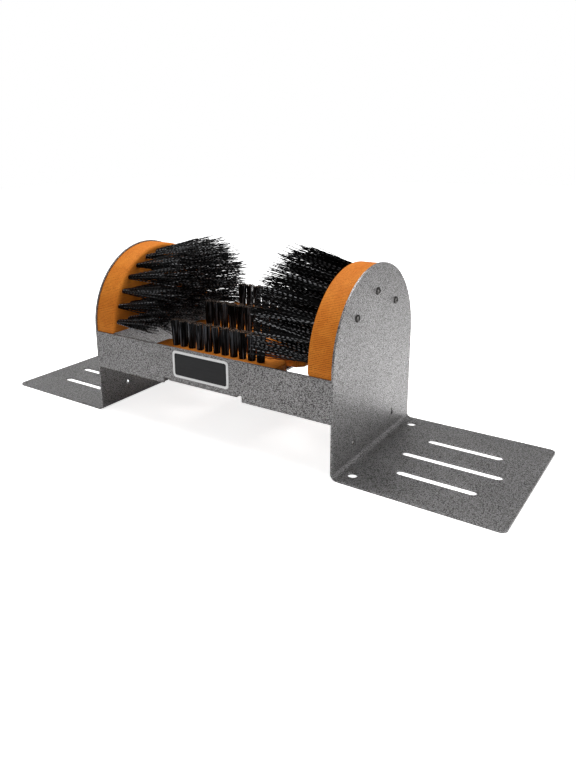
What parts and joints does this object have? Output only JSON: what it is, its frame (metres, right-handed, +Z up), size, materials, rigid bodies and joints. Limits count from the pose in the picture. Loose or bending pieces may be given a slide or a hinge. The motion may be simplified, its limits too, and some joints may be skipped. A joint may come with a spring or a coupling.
{
  "type": "boot scraper",
  "caption": "Boot scraper with slotted steel foot plates, arched uprights, facing side brushes and stepped bottom brushes in a folded frame.",
  "frame": {"origin": "on the floor, under the middle of the boot channel, halfway between the end plates", "axes": "+X along the length from the left foot plate to the right, +Y from the name plate side to the back, +Z up"},
  "size_m": [0.719, 0.2254, 0.2373],
  "materials": {
    "frame_paint": "silver-grey hammertone powder coat",
    "name_plate": "black field with a pale rim, left blank",
    "brush_wood": "orange stained and sealed hardwood",
    "bristle": "black stiff plastic bristle",
    "screw": "zinc-plated steel"
  },
  "bodies": {
    "root": {"end_plate_right": "frame_paint", "end_plate_left": "frame_paint", "cross_frame": "frame_paint", "name_plate": "name_plate", "side_block_right": "brush_wood", "side_block_left": "brush_wood", "side_bristles_right": "bristle", "side_bristles_left": "bristle", "side_screw_right_1": "screw", "side_screw_right_2": "screw", "side_screw_right_3": "screw", "side_screw_left_1": "screw", "side_screw_left_2": "screw", "side_screw_left_3": "screw", "bottom_block_front": "brush_wood", "bottom_block_middle": "brush_wood", "bottom_block_rear": "brush_wood", "bottom_bristles_front": "bristle", "bottom_bristles_middle": "bristle", "bottom_bristles_rear": "bristle", "bearer_left": "brush_wood", "bearer_right": "brush_wood", "bottom_screw_1": "screw", "bottom_screw_2": "screw", "bottom_screw_3": "screw", "bottom_screw_4": "screw", "bottom_screw_5": "screw", "bottom_screw_6": "screw"}
  },
  "joints": []
}
